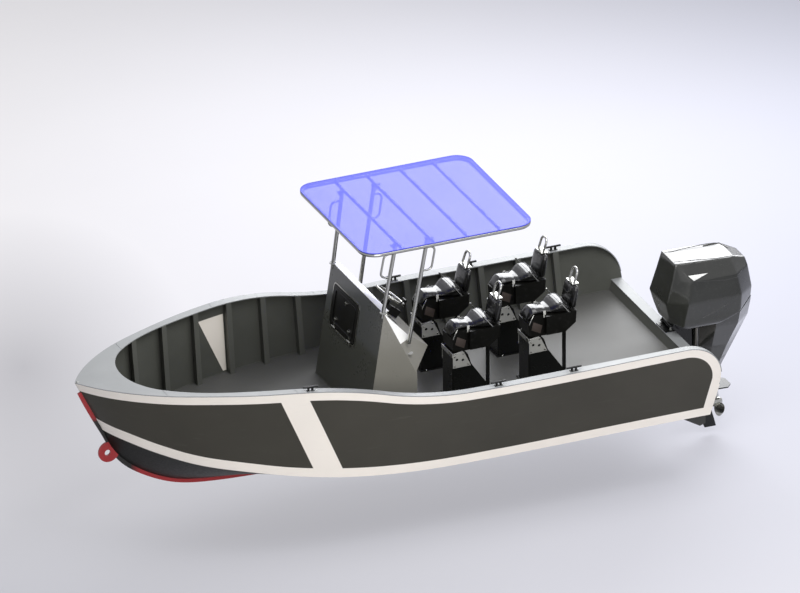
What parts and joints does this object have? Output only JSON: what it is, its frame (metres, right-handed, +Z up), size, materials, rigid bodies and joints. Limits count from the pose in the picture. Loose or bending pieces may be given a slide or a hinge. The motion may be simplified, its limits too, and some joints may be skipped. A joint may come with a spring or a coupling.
{
  "type": "centre console workboat",
  "caption": "Open workboat with a stepped gunwale, a centre console under a translucent top, jockey seats and an outboard motor that tilts and steers.",
  "frame": {"origin": "on the waterline, on the centreline, amidships", "axes": "+X to the bow, +Y to port, +Z up"},
  "size_m": [7.8742, 2.9292, 3.325],
  "materials": {
    "hull_paint": "satin dark grey paint with cream bands",
    "inner_paint": "satin dark grey paint",
    "deck_plate": "mid grey deck paint",
    "bare_alloy": "light grey brushed plate",
    "red_paint": "red paint",
    "dark_paint": "near-black paint",
    "black_paint": "black powder coat",
    "grey_paint": "grey powder coat",
    "console_paint": "satin grey paint",
    "bright_steel": "polished tube",
    "dark_plastic": "dark moulded plastic",
    "gloss_black": "glossy black",
    "black_leather": "black marine vinyl",
    "tinted_sheet": "translucent violet sheet",
    "cast_block": "plain casting"
  },
  "bodies": {
    "hull": {"hull_bottom": "hull_paint", "topside_port": "hull_paint", "topside_starboard": "hull_paint", "deck": "deck_plate", "gunwale_cap": "bare_alloy", "bulwark_ribs": "inner_paint", "stern_coaming": "inner_paint", "coaming_cap": "bare_alloy", "keel_bar": "red_paint", "stern_fins": "dark_paint", "cleats": "black_paint", "console_shell": "console_paint", "hatch_rim": "bright_steel", "hatch_hinges": "bright_steel", "helm_housing": "dark_plastic", "throttle": "dark_plastic", "instrument_panel": "dark_plastic", "top_panel": "tinted_sheet", "top_frame": "bright_steel", "top_legs": "bright_steel", "grab_handles": "bright_steel", "seat_pedestals": "black_paint", "seat_side_plates": "grey_paint", "seat_pods": "dark_plastic", "seat_saddles": "black_leather", "seat_backrests": "black_leather", "seat_loops": "bright_steel", "seat_struts": "black_paint", "clamp_bracket": "black_paint"},
    "hatch": {"console_hatch": "dark_plastic", "hatch_latches": "bright_steel", "hatch_leaves": "bright_steel"},
    "helm": {"helm_wheel": "bright_steel"},
    "tilt": {"swivel_bracket": "black_paint"},
    "motor": {"steering_yoke": "black_paint", "midsection": "gloss_black", "engine_cowl": "gloss_black", "engine_block": "cast_block", "gearcase": "black_paint"},
    "screw": {"propeller": "bright_steel"}
  },
  "joints": [
    {"name": "console_hatch", "type": "hinge", "parent": "hull", "child": "hatch", "pos_m": [0.2886, -0.215, 0.9581], "axis": [0, 1, 0], "range_deg": [0, 110]},
    {"name": "helm_turn", "type": "hinge", "parent": "hull", "child": "helm", "pos_m": [-0.345, -0.33, 1.245], "axis": [-0.6368, 0, 0.771], "range_deg": [-810, 810]},
    {"name": "outboard_tilt", "type": "hinge", "parent": "hull", "child": "tilt", "pos_m": [-3.455, 0, 0.45], "axis": [0, 1, 0], "range_deg": [0, 55]},
    {"name": "outboard_steer", "type": "hinge", "parent": "tilt", "child": "motor", "pos_m": [-3.7, 0, 0], "axis": [0, 0, 1], "range_deg": [-30, 30]},
    {"name": "propeller_spin", "type": "hinge", "parent": "motor", "child": "screw", "pos_m": [-4.03, 0, -0.59], "axis": [1, 0, 0], "continuous": true}
  ],
  "couplings": [
    {"joint": "helm_turn", "follows": "outboard_steer", "ratio": -27}
  ]
}
